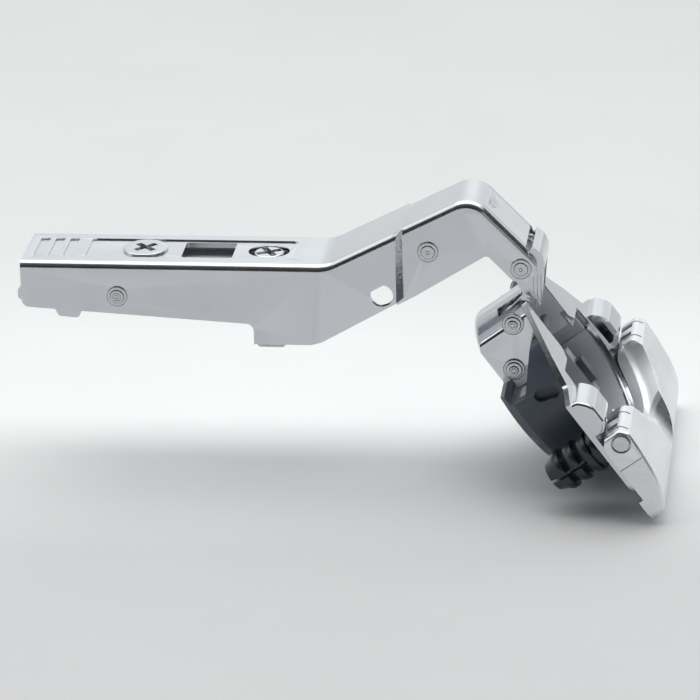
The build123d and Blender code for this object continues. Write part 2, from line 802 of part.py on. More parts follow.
# Soft-close unit: moulded housing, two dampers with pistons, the actuating lever and the switch
floor_out = -cup_depth + 1.4
damper_out = floor_out + boss_chamfer / 2 + damper_radius + 0.1
switch_out = -2.4
switch_place = (3.9, 5.1)
with BuildPart() as damper_housing:
    with BuildSketch(cup_face.offset(-cup_depth)):
        Circle(cup_radius - 0.2)
    extrude(amount=cup_depth)
    chamfer(damper_housing.faces().sort_by(Axis(cup_origin, cup_out))[0].edges(), boss_chamfer)
    with BuildSketch(cup_face.offset(-2 * cup_depth)):
        with Locations((-cup_radius + box_length + clear - 30, 0)):
            Rectangle(30, box_width + 2 * clear, align=(Align.MIN, Align.CENTER))
    extrude(amount=3 * cup_depth, mode=Mode.SUBTRACT)
    with BuildSketch(cup_side) as front_cut:
        with BuildLine():
            Polyline(
                (-30, 6),
                (-cup_radius + box_length - 4.1, 6),
                (-cup_radius + box_length - 4.1, -2.4),
                (-cup_radius + box_length + 2.4, -7.9),
                (-cup_radius + box_length + 2.1, -11.2),
                (-cup_radius + box_length + clear, -11.4),
                (-cup_radius + box_length + clear, -20),
                (-30, -20),
                close=True,
            )
        make_face()
        fillet(corners(
            front_cut,
            (-cup_radius + box_length + 2.4, -7.9),
            (-cup_radius + box_length + 2.1, -11.2),
        ), 0.8)
    extrude(amount=2 * cup_radius, both=True, mode=Mode.SUBTRACT)
    # room inside, behind the front wall, and the passage of the damper lever
    for rise_in, radius_in in ((0, boss_chamfer / 2), (boss_chamfer / 2, 0)):
        with BuildSketch(cup_face.offset(floor_out + rise_in)):
            Circle(mouth_radius - cup_sheet - 0.9 - radius_in)
            with Locations((damper_front - piston_reach - clear, 0)):
                Rectangle(40, 40, align=(Align.MIN, Align.CENTER), mode=Mode.INTERSECT)
        extrude(amount=cup_depth + 2, mode=Mode.SUBTRACT)
    with BuildSketch(cup_face.offset(floor_out)):
        with Locations((-cup_radius + box_length - 2.0, 0)):
            Rectangle(box_length, box_width + 2 * clear, align=(Align.MIN, Align.CENTER))
    extrude(amount=cup_depth + 2, mode=Mode.SUBTRACT)
    with BuildSketch(cup_face.offset(-8.6)):
        Circle(mouth_radius + 0.15)
        with Locations((rim_front - clear, 0)):
            Rectangle(40, 40, align=(Align.MIN, Align.CENTER), mode=Mode.INTERSECT)
    extrude(amount=cup_depth, mode=Mode.SUBTRACT)
    with BuildSketch(cup_face.offset(floor_out - 0.3)):
        with Locations(switch_place):
            Rectangle(switch_size[0] + 2 * switch_travel, switch_size[1] + 0.4)
    extrude(amount=switch_out - floor_out + 0.3)
    for side in (-1, 1):
        with BuildSketch(cup_side.offset(side * (cup_radius - 1.8))):
            with Locations((-2.5, -4.1)):
                SlotOverall(4.7, 2.3, rotation=72)
        extrude(amount=side * 8, mode=Mode.SUBTRACT)

with BuildPart() as damper_cylinders:
    for side in (-1, 1):
        cradle = cup_point((damper_front, damper_out))
        with BuildSketch(Plane((cradle[0], side * damper_side, cradle[1]), x_dir=(0, 1, 0), z_dir=cup_along)):
            Circle(damper_radius)
            Circle(piston_radius + bore_gap, mode=Mode.SUBTRACT)
        extrude(amount=damper_length)

with BuildPart() as damper_pistons:
    for side in (-1, 1):
        cradle = cup_point((damper_front - piston_reach, damper_out))
        with BuildSketch(Plane((cradle[0], side * damper_side, cradle[1]), x_dir=(0, 1, 0), z_dir=cup_along)):
            Circle(piston_radius)
        extrude(amount=piston_reach + piston_hold)

actuator_half = 3.0
actuator_angle = 100.0
actuator_tip = (
    inner_pin[0] + actuator_reach * cos(radians(actuator_angle)),
    inner_pin[1] + actuator_reach * sin(radians(actuator_angle)),
)
with BuildPart() as damper_lever:
    with BuildSketch(cup_side):
        with Locations(inner_pin):
            Circle(2.3)
        with Locations(actuator_tip):
            Circle(1.1)
        with BuildLine():
            Polyline(
                (inner_pin[0] - 1.5, inner_pin[1]),
                (actuator_tip[0] - 0.8, actuator_tip[1]),
                (actuator_tip[0] + 0.8, actuator_tip[1]),
                (inner_pin[0] + 1.8, inner_pin[1]),
                close=True,
            )
        make_face()
        with Locations(inner_pin):
            Circle(pin_radius + bore_gap, mode=Mode.SUBTRACT)
    extrude(amount=actuator_half, both=True)

coil_wire = 0.45
coil_radius = pin_radius + coil_wire + 0.15
coil_length = box_half - cup_sheet - actuator_half - 2 * coil_wire - 0.6
coil_start = actuator_half + coil_wire + 0.3
with BuildPart() as cup_springs:
    for side in (-1, 1):
        start = cup_point(inner_pin)
        with BuildLine() as pin_coil:
            Helix(
                pitch=coil_length / 4,
                height=coil_length,
                radius=coil_radius,
                center=(start[0], side * coil_start, start[1]),
                direction=(0, side, 0),
            )
        with BuildSketch(Plane(pin_coil.line @ 0, z_dir=pin_coil.line % 0)):
            Circle(coil_wire)
        sweep(path=pin_coil.line, is_frenet=True)

with BuildPart() as damping_switch:
    with BuildSketch(cup_face.offset(switch_out)):
        with Locations(switch_place):
            RectangleRounded(switch_size[0], switch_size[1], 0.5)
    extrude(amount=switch_size[2])

# Locking lever: die-cast yoke behind the mouth, hinged on the lugs over the dowels
with BuildPart() as locking_lever:
    with BuildSketch(cup_side) as lever_side:
        with BuildLine():
            Polyline(
                (locking_pivot[0] - 2.3, locking_pivot[1] - 2.0),
                (locking_pivot[0] - 2.3, locking_pivot[1] + 1.2),
                (locking_pivot[0] - 0.6, locking_pivot[1] + 2.3),
                (locking_pivot[0] + 3.0, locking_pivot[1] + 2.1),
            )
            Spline(
                (locking_pivot[0] + 3.0, locking_pivot[1] + 2.1),
                (locking_pivot[0] + 8.0, locking_pivot[1] + 1.5),
                (locking_pivot[0] + 12.4, locking_pivot[1] + 0.3),
                (locking_rear - 0.9, locking_pivot[1] - 1.2),
            )
            Polyline(
                (locking_rear - 0.9, locking_pivot[1] - 1.2),
                (locking_rear, 0.4),
                (flange_rear + clear, 0.4),
                (flange_rear + clear, cup_sheet + clear),
                (locking_pivot[0], cup_sheet + clear),
                (locking_pivot[0] - 1.2, cup_sheet + clear + 0.25),
                (locking_pivot[0] - 2.3, locking_pivot[1] - 2.0),
            )
        make_face()
        fillet(corners(lever_side, (locking_pivot[0] - 2.3, locking_pivot[1] + 1.2)), 1.4)
    yoke = extrude(amount=locking_half, both=True, mode=Mode.PRIVATE)
    yoke_edges = [
        edge
        for edge in yoke.edges()
        if abs(abs(edge.center().Y) - locking_half) < 0.01
        and cup_face.to_local_coords(edge.center()).Z > locking_pivot[1] - 0.8
    ]
    add(yoke.fillet(lever_round, yoke_edges))
    with BuildSketch(cup_face) as lever_plan:
        with Locations((-2.2, 0)):
            Circle(mouth_radius + 1.2)
    extrude(amount=20, mode=Mode.SUBTRACT)
    with BuildSketch(cup_face.offset(ledge_out)):
        with Locations((-2.2, 0)):
            Circle(mouth_radius + 1.2 + ledge_width)
    extrude(amount=20, mode=Mode.SUBTRACT)
    with BuildSketch(cup_face.offset(-2)) as lever_outline:
        with Locations(((locking_rear + 5.0) / 2, 0)):
            RectangleRounded(locking_rear - 4.6, locking_width, 2.6)
        with Locations((7.5, 0)):
            Rectangle(8.0, locking_width)
    extrude(amount=20, mode=Mode.INTERSECT)
    # room for the lugs and the dowel heads
    for side in (-1, 1):
        for inset in lug_inset:
            with BuildSketch(cup_side.offset(side * (flange_half - inset) - lug_width / 2 - clear)):
                with Locations(locking_pivot):
                    Circle(lug_radius + clear)
                with Locations((locking_pivot[0] + lug_radius + clear, locking_pivot[1] + 0.6)):
                    Rectangle(10, 10, align=(Align.MAX, Align.MAX))
            extrude(amount=lug_width + 2 * clear, mode=Mode.SUBTRACT)
        for inset in groove_inset:
            with BuildSketch(cup_side.offset(side * (locking_half - inset) - knuckle_groove / 2)):
                with Locations((locking_pivot[0] - 2.3, locking_pivot[1] + 1.0)):
                    Rectangle(2 * 1.4, 8)
            extrude(amount=knuckle_groove, mode=Mode.SUBTRACT)
    for side in (-1, 1):
        with BuildSketch(cup_side.offset(side * (locking_half - groove_inset[1] - 0.2))):
            with Locations(locking_pivot):
                Circle(pin_core_radius + bore_gap)
        extrude(amount=side * groove_inset[1], mode=Mode.SUBTRACT)
        with BuildSketch(cup_side.offset(side * (locking_half - 0.8))):
            with Locations(locking_pivot):
                Circle(locking_pin_radius + 0.3)
        extrude(amount=side * 2, mode=Mode.SUBTRACT)
    scoop_at = cup_point((locking_rear - 2.0, scoop_bottom + scoop_radius))
    scoop_axis = Plane((scoop_at[0], 0, scoop_at[1]), x_dir=(0, 1, 0), z_dir=cup_along)
    with BuildSketch(scoop_axis.offset(-14.0)):
        Circle(scoop_radius)
    extrude(amount=20, mode=Mode.SUBTRACT)

with BuildPart() as lever_pins:
    for side in (-1, 1):
        with BuildSketch(cup_side.offset(side * (locking_half - groove_inset[1]))):
            with Locations(locking_pivot):
                Circle(pin_core_radius)
        extrude(amount=side * (groove_inset[1] - 0.8))
        with BuildSketch(cup_side.offset(side * (locking_half - 0.8))):
            with Locations(locking_pivot):
                Circle(locking_pin_radius)
        extrude(amount=side * 0.85)

# Expanding dowels, split from the tip, each with its spreader
rib_tops = (-1.8, -4.7, -7.6)
for name, side in (("near", -1), ("far", 1)):
    dowel_axis = cup_point((dowel_offset, 0))
    profile_plane = Plane((dowel_axis[0], side * dowel_spacing / 2, dowel_axis[1]), x_dir=cup_along, z_dir=(0, -1, 0))
    with BuildPart() as dowel:
        with BuildSketch(profile_plane):
            with BuildLine():
                ribs = []
                for top in rib_tops:
                    ribs += [
                        (rib_radius, top),
                        (rib_radius, top - 0.9),
                        (rib_radius - 0.8, top - 2.4),
                        (rib_radius - 1.0, top - 2.9),
                    ]
                Polyline(
                    (0, -0.05),
                    (dowel_radius, -0.05),
                    (dowel_radius, -dowel_collar),
                    (rib_radius - 0.8, -dowel_collar),
                    (rib_radius - 0.8, rib_tops[0]),
                    *ribs,
                    (dowel_radius - 1.3, -dowel_length),
                    (spreader_radius + bore_gap, -dowel_length),
                    (spreader_radius + bore_gap, -dowel_head),
                    (0, -dowel_head),
                    close=True,
                )
            make_face()
        revolve(axis=Axis((dowel_axis[0], side * dowel_spacing / 2, dowel_axis[1]), cup_out))
        with BuildSketch(profile_plane):
            with Locations((0, -dowel_head)):
                Rectangle(dowel_slit, dowel_length, align=(Align.CENTER, Align.MAX))
        extrude(amount=3 * dowel_radius, both=True, mode=Mode.SUBTRACT)
    dowel.part.label = f"dowel_{name}"
    export_step(dowel.part, f"parts/dowel_{name}.step")
    with BuildPart() as spreader:
        with BuildSketch(profile_plane):
            with BuildLine():
                Polyline(
                    (0, -dowel_head - spreader_travel),
                    (spreader_radius, -dowel_head - spreader_travel),
                    (spreader_radius, -dowel_length + 1.2),
                    (spreader_radius - 0.5, -dowel_length + 0.2),
                    (0, -dowel_length + 0.2),
                    close=True,
                )
            make_face()
        revolve(axis=Axis((dowel_axis[0], side * dowel_spacing / 2, dowel_axis[1]), cup_out))
    spreader.part.label = f"spreader_{name}"
    export_step(spreader.part, f"parts/spreader_{name}.step")

for name, piece in (
    ("hinge_arm", hinge_arm),
    ("clip_carrier", clip_carrier),
    ("guide_rivets", guide_rivets),
    ("latch_lever", latch_lever),
    ("latch_pin", latch_pin),
    ("latch_spring", latch_spring),
    ("depth_cam", depth_cam),
    ("side_screw", side_screw),
    ("closing_lever", closing_lever),
    ("lever_rivet", lever_rivet),
    ("closing_spring", closing_spring),
    ("link_rivets", link_rivets),
    ("outer_link", outer_link),
    ("cup_shell", cup_shell),
    ("damper_housing", damper_housing),
    ("damper_cylinders", damper_cylinders),
    ("damper_pistons", damper_pistons),
    ("damper_lever", damper_lever),
    ("cup_springs", cup_springs),
    ("damping_switch", damping_switch),
    ("locking_lever", locking_lever),
    ("lever_pins", lever_pins),
):
    piece.part.label = name
    export_step(piece.part, f"parts/{name}.step")
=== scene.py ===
import math

import bpy
from mathutils import Matrix, Vector


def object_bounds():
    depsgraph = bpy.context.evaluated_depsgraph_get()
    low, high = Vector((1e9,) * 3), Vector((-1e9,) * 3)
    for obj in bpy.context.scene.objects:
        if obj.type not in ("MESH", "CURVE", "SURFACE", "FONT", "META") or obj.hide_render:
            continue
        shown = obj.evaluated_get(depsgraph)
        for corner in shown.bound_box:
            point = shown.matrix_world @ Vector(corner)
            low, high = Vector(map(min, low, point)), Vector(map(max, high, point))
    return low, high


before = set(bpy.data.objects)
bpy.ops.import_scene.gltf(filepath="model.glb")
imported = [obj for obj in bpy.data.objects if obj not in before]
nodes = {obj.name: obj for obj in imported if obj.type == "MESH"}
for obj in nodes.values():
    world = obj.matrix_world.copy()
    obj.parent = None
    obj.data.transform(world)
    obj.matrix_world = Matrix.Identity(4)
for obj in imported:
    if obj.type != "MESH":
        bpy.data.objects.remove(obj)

cad_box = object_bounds()

# Places in the part are in millimetres, Blender's own values in metres
MM_PER_M = 1000
ORIGIN = (0, 0, 0)
ALONG_X, ALONG_Y, ALONG_Z = (1, 0, 0), (0, 1, 0), (0, 0, 1)
EVEN = (1, 1, 1)
WHITE = (1, 1, 1)

# The cup's own directions in the part
cup_tilt = math.radians(54.0)
cup_centre = (75.02, 0, -16.25)
cup_along = (math.cos(cup_tilt), 0, -math.sin(cup_tilt))
cup_out = (math.sin(cup_tilt), 0, math.cos(cup_tilt))


# Node helpers

def new_material(name):
    material = bpy.data.materials.new(name)
    material.use_nodes = True
    t = material.node_tree
    return material, t, t.nodes["Principled BSDF"]


def coords(t, scale):
    """Object coordinates in millimetres, stretched by scale."""
    place = t.nodes.new("ShaderNodeTexCoord")
    mapping = t.nodes.new("ShaderNodeMapping")
    mapping.inputs["Scale"].default_value = [MM_PER_M * s for s in scale]
    t.links.new(place.outputs["Object"], mapping.inputs["Vector"])
    return mapping.outputs["Vector"]


def noise(t, freq, detail, rough=0.55, scale=EVEN):
    """Cloudy noise with freq features to the millimetre."""
    n = t.nodes.new("ShaderNodeTexNoise")
    n.inputs["Scale"].default_value = freq
    n.inputs["Detail"].default_value = detail
    n.inputs["Roughness"].default_value = rough
    t.links.new(coords(t, scale), n.inputs["Vector"])
    return n.outputs["Fac"]


def span(t, source, low, high, start=0.3, end=0.7):
    """Maps a source from start and end to low and high, and holds it beyond them."""
    r = t.nodes.new("ShaderNodeMapRange")
    r.inputs["From Min"].default_value = start
    r.inputs["From Max"].default_value = end
    r.inputs["To Min"].default_value = low
    r.inputs["To Max"].default_value = high
    t.links.new(source, r.inputs["Value"])
    return r.outputs["Result"]


def above(t, source, start, end):
    """1 where the source is above a soft edge, and 0 below it."""
    return span(t, source, 0.0, 1.0, start, end)


def below(t, source, start, end):
    """1 where the source is below a soft edge, and 0 above it."""
    return span(t, source, 1.0, 0.0, start, end)


def ramp(t, source, stops):
    r = t.nodes.new("ShaderNodeValToRGB")
    e = r.color_ramp.elements
    while len(e) < len(stops):
        e.new(0.5)
    for item, (place, colour) in zip(e, stops):
        item.position = place
        item.color = (*colour, 1)
    t.links.new(source, r.inputs["Fac"])
    return r.outputs["Color"]


def mix_colour(t, mode, factor, a, b):
    n = t.nodes.new("ShaderNodeMix")
    n.data_type = "RGBA"
    n.blend_type = mode
    if isinstance(factor, float):
        n.inputs["Factor"].default_value = factor
    else:
        t.links.new(factor, n.inputs["Factor"])
    colour_a, colour_b = n.inputs[6], n.inputs[7]
    t.links.new(a, colour_a)
    if isinstance(b, tuple):
        colour_b.default_value = (*b, 1)
    else:
        t.links.new(b, colour_b)
    return n.outputs[2]


def bumps(t, shader, layers):
    """Stacks bump layers of (height source, strength, distance in millimetres)."""
    last = None
    for source, strength, distance in layers:
        n = t.nodes.new("ShaderNodeBump")
        n.inputs["Strength"].default_value = strength
        n.inputs["Distance"].default_value = distance / MM_PER_M
        t.links.new(source, n.inputs["Height"])
        if last is not None:
            t.links.new(last, n.inputs["Normal"])
        last = n.outputs["Normal"]
    t.links.new(last, shader.inputs["Normal"])


def maths(t, operation, a, b=None):
    """A math node on sources or plain numbers."""
    n = t.nodes.new("ShaderNodeMath")
    n.operation = operation
    for socket, value in zip(n.inputs, (a, b)):
        if isinstance(value, (int, float)):
            socket.default_value = value
        elif value is not None:
            t.links.new(value, socket)
    return n.outputs[0]


def product(t, *factors):
    total = factors[0]
    for factor in factors[1:]:
        total = maths(t, "MULTIPLY", total, factor)
    return total


def hypotenuse(t, a, b):
    return maths(t, "SQRT", maths(t, "ADD", maths(t, "MULTIPLY", a, a), maths(t, "MULTIPLY", b, b)))


def along(t, origin, direction):
    """Millimetres from a place in the part along a direction."""
    place = t.nodes.new("ShaderNodeTexCoord")
    shift = t.nodes.new("ShaderNodeVectorMath")
    shift.operation = "SUBTRACT"
    shift.inputs[1].default_value = [v / MM_PER_M for v in origin]
    t.links.new(place.outputs["Object"], shift.inputs[0])
    dot = t.nodes.new("ShaderNodeVectorMath")
    dot.operation = "DOT_PRODUCT"
    dot.inputs[1].default_value = [MM_PER_M * v for v in direction]
    t.links.new(shift.outputs["Vector"], dot.inputs[0])
    return dot.outputs["Value"]


def aside(t):
    """Millimetres from the hinge's middle plane, the same on both sides."""
    return maths(t, "ABSOLUTE", along(t, ORIGIN, ALONG_Y))


def off(t, source, place):
    """How far a source lies from a place, either way."""
    return maths(t, "ABSOLUTE", maths(t, "SUBTRACT", source, place))


def cup_radius(t):
    """Millimetres from the cup's axis."""
    return hypotenuse(t, along(t, cup_centre, cup_along), along(t, cup_centre, ALONG_Y))


def cup_place(length, out):
    """X and Z in the part of a place along the cup and out of it."""
    return (
        cup_centre[0] + length * cup_along[0] + out * cup_out[0],
        cup_centre[2] + length * cup_along[2] + out * cup_out[2],
    )


def scaled(colour, factor, top=1.0):
    return tuple(min(top, c * factor) for c in colour)


# Marks of painted shade: dark on a line and white elsewhere

def mark(t, shade, tone):
    return ramp(t, shade, [(0.0, tone), (1.0, WHITE)])


def ring_marks_and_shade(place, radii, width):
    """Turned rings round an axis along Y, whose darkness is painted shade."""
    centre = (place[0], 0, place[1])
    reach = 2.6
    ring_shade_tone = (0.22, 0.23, 0.24)

    def build(t):
        radius = hypotenuse(t, along(t, centre, ALONG_X), along(t, centre, ALONG_Z))
        stops = []
        for r in radii:
            # Painted shade: a dark line at each ring's radius
            stops += [((r - width) / reach, WHITE), (r / reach, ring_shade_tone), ((r + width) / reach, WHITE)]
        return ramp(t, above(t, radius, 0.0, reach), stops)

    return build


def seam_painted_shade(t):
    """Painted shade in the joint line across each end of the cast lever."""
    seam_length, line_width, end_face = 13.7, (0.03, 0.10), (28.25, 28.3)
    off_line = above(t, off(t, along(t, cup_centre, cup_along), seam_length), *line_width)
    inside = below(t, maths(t, "ABSOLUTE", along(t, cup_centre, ALONG_Y)), *end_face)
    return mark(t, maths(t, "MAXIMUM", off_line, inside), (0.25, 0.26, 0.27))


def arm_painted_shade(t):
    """Painted shade over the joggle in the arm's sides, mottled by noise, and a painted dark reflection line
    beside the edge of its falling part.
    """
    side = aside(t)
    x = along(t, ORIGIN, ALONG_X)
    # Noise that mottles the painted shade on the joggle
    grain = span(t, noise(t, 1.6, 3.0), 0.05, 0.70)
    joggle = product(
        t, above(t, side, 7.04, 7.12), below(t, side, 8.08, 8.16),
        above(t, x, 41.6, 42.0), below(t, x, 44.2, 44.6), grain,
    )
    # A painted dark reflection line along the fillet of the falling part
    reflection_line_side, reflection_line_width, reflection_line_start = 5.15, (0.02, 0.12), (58.0, 58.8)
    dark_reflection_line = above(t, off(t, side, reflection_line_side), *reflection_line_width)
    dark_reflection_line = maths(t, "MAXIMUM", dark_reflection_line, below(t, x, *reflection_line_start))
    shade = maths(t, "MINIMUM", dark_reflection_line, maths(t, "SUBTRACT", 1.0, joggle))
    return mark(t, shade, (0.25, 0.26, 0.27))


def fold_painted_shade(t):
    """Painted shade lines at the bends down the near and far legs of the outer link."""
    line_places, line_width = (67.15, 67.85, 68.5), (0.02, 0.10)
    leg_top, outer_face = (1.6, 2.2), (5.2, 5.3)
    x = along(t, ORIGIN, ALONG_X)
    lines = None
    for place in line_places:
        line = above(t, off(t, x, place), *line_width)
        lines = line if lines is None else maths(t, "MINIMUM", lines, line)
    higher = above(t, along(t, ORIGIN, ALONG_Z), *leg_top)
    inside = below(t, aside(t), *outer_face)
    shade = maths(t, "MAXIMUM", maths(t, "MAXIMUM", lines, higher), inside)
    return mark(t, shade, (0.50, 0.51, 0.52))


# Regions with a finish of their own and painted light: 1 inside, 0 outside

def cup_inside(t):
    """The drawn inside of the bowl and of the front box: rougher than the outside, and painted lighter,
    standing in for light that reaches the shaded inside.
    """
    bowl_wall, bowl_rim, box_start = (15.5, 15.7), (-0.15, 0.0), (-7.1, -6.9)
    box_wall, box_end, box_rim = (8.4, 8.6), (-16.1, -15.9), (0.75, 0.95)
    length = along(t, cup_centre, cup_along)
    lift = along(t, cup_centre, cup_out)
    in_bowl = above(t, length, *box_start)
    bowl = product(t, below(t, cup_radius(t), *bowl_wall), in_bowl, below(t, lift, *bowl_rim))
    front_box = product(
        t, below(t, aside(t), *box_wall), maths(t, "SUBTRACT", 1.0, in_bowl),
        above(t, length, *box_end), below(t, lift, *box_rim),
    )
    return maths(t, "MAXIMUM", bowl, front_box)


def cover_inside(t):
    """The moulded cover of the damping unit inside the bowl, painted paler, standing in for light falling on
    it.
    """
    cover_edge, cover_floor, cover_start = (14.7, 15.1), (-9.5, -9.0), (-9.0, -8.5)
    return product(
        t, below(t, cup_radius(t), *cover_edge), above(t, along(t, cup_centre, cup_out), *cover_floor),
        above(t, along(t, cup_centre, cup_along), *cover_start),
    )


def lever_inside(t):
    """The blasted inner arc of the lever, in part as rough as the cup's inside and painted lighter, standing
    in for light falling on it.
    """
    dullness_and_painted_light, arc_edge = 0.66, (17.8, 18.2)
    return span(t, cup_radius(t), dullness_and_painted_light, 0.0, *arc_edge)


def arm_inside(t):
    """The inside of the arm's rear channel, seen through the window, made rougher and painted lighter,
    standing in for light that reaches it.
    """
    wall, roof, front = (7.05, 7.15), (2.75, 2.85), (24.0, 28.0)
    return product(
        t, below(t, aside(t), *wall), below(t, along(t, ORIGIN, ALONG_Z), *roof),
        below(t, along(t, ORIGIN, ALONG_X), *front),
    )


# Materials

def metal(name, tone, rough, grain, grain_strength, streak=EVEN, wave=0.12, marks_and_painted_shade=None, dull_and_painted_light=None):
    """Plated steel: cloudy plating, fine grain, faint drawing lines, and paler edges that are partly wear and
    partly a painted highlight.

    grain is in features to the millimetre, and streak is short in the direction of the drawing lines.
    """
    dull_rough, painted_light_gain = 0.62, 1.3
    m, t, shader = new_material(name)
    shader.inputs["Metallic"].default_value = 1.0
    cloud = noise(t, 0.12, 3.0)
    base = ramp(t, cloud, [(0.3, scaled(tone, 0.955)), (0.7, scaled(tone, 1.03))])
    geometry = t.nodes.new("ShaderNodeNewGeometry")
    # Paler edges: wear, and partly a painted highlight
    edge = above(t, geometry.outputs["Pointiness"], 0.53, 0.60)
    colour = mix_colour(t, "MIX", edge, base, scaled(tone, 1.08))
    lines = noise(t, 2.2, 5.0, 0.6, streak)
    gloss = span(t, lines, rough * 0.82, rough * 1.2)
    layers = [
        (noise(t, 0.35, 2.0), wave, 0.05),
        (lines, 0.10, 0.01),
        (noise(t, grain, 2.0), grain_strength, 0.012),
    ]
    if marks_and_painted_shade is not None:
        shade = marks_and_painted_shade(t)
        # Painted shade: dark lines multiplied into the colour
        colour = mix_colour(t, "MULTIPLY", 1.0, colour, shade)
        layers.append((shade, 0.8, 0.06))
    # Painted light: the region is rougher and its colour lighter, standing in for light that reaches shaded
    # insides
    if dull_and_painted_light is not None:
        region = dull_and_painted_light(t)
        colour = mix_colour(t, "MIX", region, colour, scaled(tone, painted_light_gain, 0.96))
        gloss = maths(t, "MAXIMUM", gloss, maths(t, "MULTIPLY", region, dull_rough))
    t.links.new(colour, shader.inputs["Base Color"])
    t.links.new(gloss, shader.inputs["Roughness"])
    bumps(t, shader, layers)
    return m


def plastic(name, dark, light, rough, grain, strength, painted_light_patch=None):
    """Moulded plastic: faint flow clouds, fine grain, and lighter edges, partly rubbed and partly a painted
    highlight; the painted light patch is (region, dark, light).
    """
    m, t, shader = new_material(name)
    cloud = noise(t, 0.22, 4.0)
    base = ramp(t, cloud, [(0.3, dark), (0.7, light)])
    # Painted light: a region in a paler colour, standing in for light falling on it
    if painted_light_patch is not None:
        region, painted_light_dark, painted_light_bright = painted_light_patch
        base = mix_colour(t, "MIX", region(t), base, ramp(t, cloud, [(0.3, painted_light_dark), (0.7, painted_light_bright)]))
    geometry = t.nodes.new("ShaderNodeNewGeometry")
    # Lighter edges: rubbing, and partly a painted highlight
    edge = span(t, geometry.outputs["Pointiness"], 0.0, 0.55, 0.52, 0.62)
    t.links.new(mix_colour(t, "MIX", edge, base, scaled(light, 2.4)), shader.inputs["Base Color"])
    fine = noise(t, grain, 3.0)
    t.links.new(span(t, fine, rough * 0.85, rough * 1.2), shader.inputs["Roughness"])
    shader.inputs["Specular IOR Level"].default_value = 0.5
    bumps(t, shader, [(fine, strength, 0.03)])
    return m


arm_tone = (0.640, 0.662, 0.690)
cup_tone = (0.640, 0.660, 0.688)
rivet_tone = (0.60, 0.615, 0.635)
drawn_along_x = (0.15, 1, 1)

nickel = metal("nickel_plate", arm_tone, 0.20, 9.0, 0.05, streak=drawn_along_x)
nickel_arm = metal(
    "nickel_plate_arm", arm_tone, 0.20, 9.0, 0.05, streak=drawn_along_x, marks_and_painted_shade=arm_painted_shade, dull_and_painted_light=arm_inside
)
nickel_cup = metal("nickel_plate_cup", cup_tone, 0.17, 8.0, 0.05, streak=(1, 0.2, 1), dull_and_painted_light=cup_inside)
nickel_screw = metal("nickel_plate_screw", cup_tone, 0.17, 8.0, 0.05)
nickel_link = metal("nickel_plate_link", cup_tone, 0.17, 8.0, 0.05, marks_and_painted_shade=fold_painted_shade)
# Painted light: a light tone that lifts the carrier out of the shade under the arm
carrier_steel_painted_light = metal("carrier_plate_painted_light", (0.76, 0.775, 0.79), 0.75, 7.0, 0.10)
satin = metal(
    "satin_cast_plate", (0.753, 0.771, 0.795), 0.31, 5.0, 0.15, wave=0.05, marks_and_painted_shade=seam_painted_shade, dull_and_painted_light=lever_inside
)
rivet_steel = metal("rivet_steel", rivet_tone, 0.24, 9.0, 0.12)
rivets = {
    name: metal(name + "_steel", rivet_tone, 0.26, 9.0, 0.10, marks_and_painted_shade=ring_marks_and_shade(place, radii, width))
    for name, place, radii, width in (
        ("guide_rivets", (-9.0, -2.4), (0.35, 0.75, 1.24, 1.84), 0.08),
        ("lever_rivet", (48.2, 6.64), (0.30, 1.24, 1.84), 0.08),
        ("link_rivets", (65.05, 3.63), (0.30, 1.24, 1.84), 0.08),
        ("cup_pin_outer", cup_place(-14.81, -3.30), (0.42, 0.80, 1.44, 1.93), 0.10),
        ("cup_pin_inner", cup_place(-7.60, -8.37), (0.42, 0.80, 1.44, 1.93), 0.10),
        ("lever_pins", cup_place(9.5, 4.5), (1.46,), 0.06),
    )
}
spring_wire = metal("spring_wire", (0.42, 0.42, 0.43), 0.30, 6.0, 0.15, streak=(1, 0.3, 1))
rod_steel = metal("rod_steel", (0.58, 0.585, 0.59), 0.22, 8.0, 0.08)
housing_plastic = plastic(
    "housing_plastic", (0.052, 0.067, 0.090), (0.068, 0.086, 0.112), 0.40, 7.0, 0.18,
    painted_light_patch=(cover_inside, (0.46, 0.48, 0.52), (0.56, 0.58, 0.62)),
)
dowel_plastic = plastic("dowel_plastic", (0.009, 0.012, 0.018), (0.015, 0.019, 0.027), 0.24, 5.0, 0.08)
dark_plastic = plastic("dark_plastic", (0.034, 0.043, 0.058), (0.046, 0.057, 0.076), 0.40, 7.0, 0.18)
insert_plastic = plastic("insert_plastic", (0.045, 0.050, 0.058), (0.070, 0.078, 0.088), 0.38, 6.0, 0.12)

finish = {
    "hinge_arm": nickel_arm,
    "clip_carrier": carrier_steel_painted_light,
    "guide_rivets": rivets["guide_rivets"],
    "latch_lever": nickel,
    "latch_pin": rivet_steel,
    "latch_spring": spring_wire,
    "depth_cam": nickel_screw,
    "side_screw": nickel_screw,
    "closing_lever": carrier_steel_painted_light,
    "lever_rivet": rivets["lever_rivet"],
    "closing_spring": spring_wire,
    "link_rivets": rivets["link_rivets"],
    "outer_link": nickel_link,
    "cup_shell": nickel_cup,
    "cup_pin_outer": rivets["cup_pin_outer"],
    "cup_pin_inner": rivets["cup_pin_inner"],
    "cup_springs": spring_wire,
    "damper_housing": housing_plastic,
    "damper_cylinders": insert_plastic,
    "damper_pistons": rod_steel,
    "damper_lever": dark_plastic,
    "damping_switch": insert_plastic,
    "locking_lever": satin,
    "lever_pins": rivets["lever_pins"],
    "dowel_near": dowel_plastic,
    "dowel_far": dowel_plastic,
    "spreader_near": rod_steel,
    "spreader_far": rod_steel,
}

